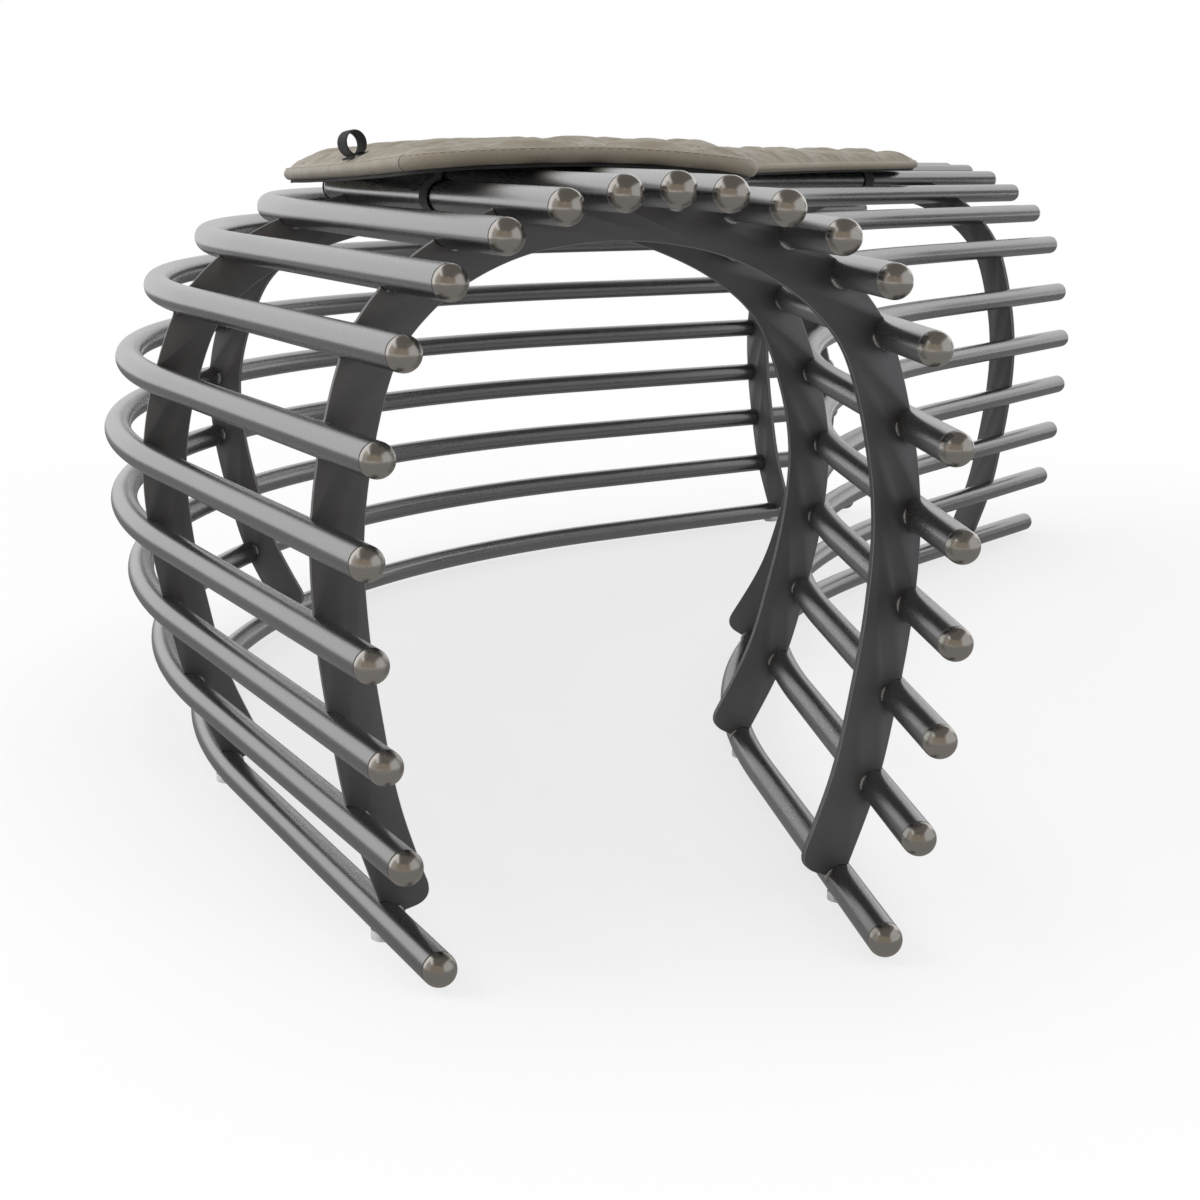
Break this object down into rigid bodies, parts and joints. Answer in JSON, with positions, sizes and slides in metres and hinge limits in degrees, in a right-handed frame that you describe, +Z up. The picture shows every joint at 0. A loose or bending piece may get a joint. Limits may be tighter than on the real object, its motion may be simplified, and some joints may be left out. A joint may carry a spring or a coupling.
{
  "type": "curved bench",
  "caption": "Crescent bench of round steel tubes carried lengthwise on arched plates, with a quilted leather seat pad strapped on top.",
  "frame": {"origin": "middle of the footprint's box, on the floor", "axes": "+X along the bench, +Y to the outer side of the bend, +Z up"},
  "size_m": [1.8142, 0.7718, 0.459],
  "materials": {
    "tube_steel": "satin gunmetal",
    "rib_steel": "satin charcoal",
    "weld_metal": "bare weld",
    "cap_nickel": "polished nickel",
    "glide_plastic": "translucent white",
    "pad_leather": "soft grain taupe",
    "pad_foam": "foam",
    "pad_backing": "matte black",
    "strap_elastic": "ribbed black elastic",
    "stud_metal": "polished",
    "loop_webbing": "woven black"
  },
  "bodies": {
    "root": {"tube_01": "tube_steel", "tube_02": "tube_steel", "tube_03": "tube_steel", "tube_04": "tube_steel", "tube_05": "tube_steel", "tube_06": "tube_steel", "tube_07": "tube_steel", "tube_08": "tube_steel", "tube_09": "tube_steel", "tube_10": "tube_steel", "tube_11": "tube_steel", "tube_12": "tube_steel", "tube_13": "tube_steel", "tube_14": "tube_steel", "tube_15": "tube_steel", "tube_16": "tube_steel", "tube_17": "tube_steel", "tube_18": "tube_steel", "tube_19": "tube_steel", "tube_20": "tube_steel", "tube_21": "tube_steel", "tube_22": "tube_steel", "tube_23": "tube_steel", "rib_1": "rib_steel", "rib_2": "rib_steel", "rib_3": "rib_steel", "rib_4": "rib_steel", "weld_tacks_1": "weld_metal", "weld_tacks_2": "weld_metal", "weld_tacks_3": "weld_metal", "weld_tacks_4": "weld_metal", "end_caps_left": "cap_nickel", "end_caps_right": "cap_nickel", "floor_glides": "glide_plastic", "pad_cover": "pad_leather", "pad_foam_core": "pad_foam", "pad_underside": "pad_backing", "outer_straps": "strap_elastic", "inner_straps": "strap_elastic", "outer_press_studs": "stud_metal", "inner_press_studs": "stud_metal", "pull_loop": "loop_webbing"}
  },
  "joints": []
}
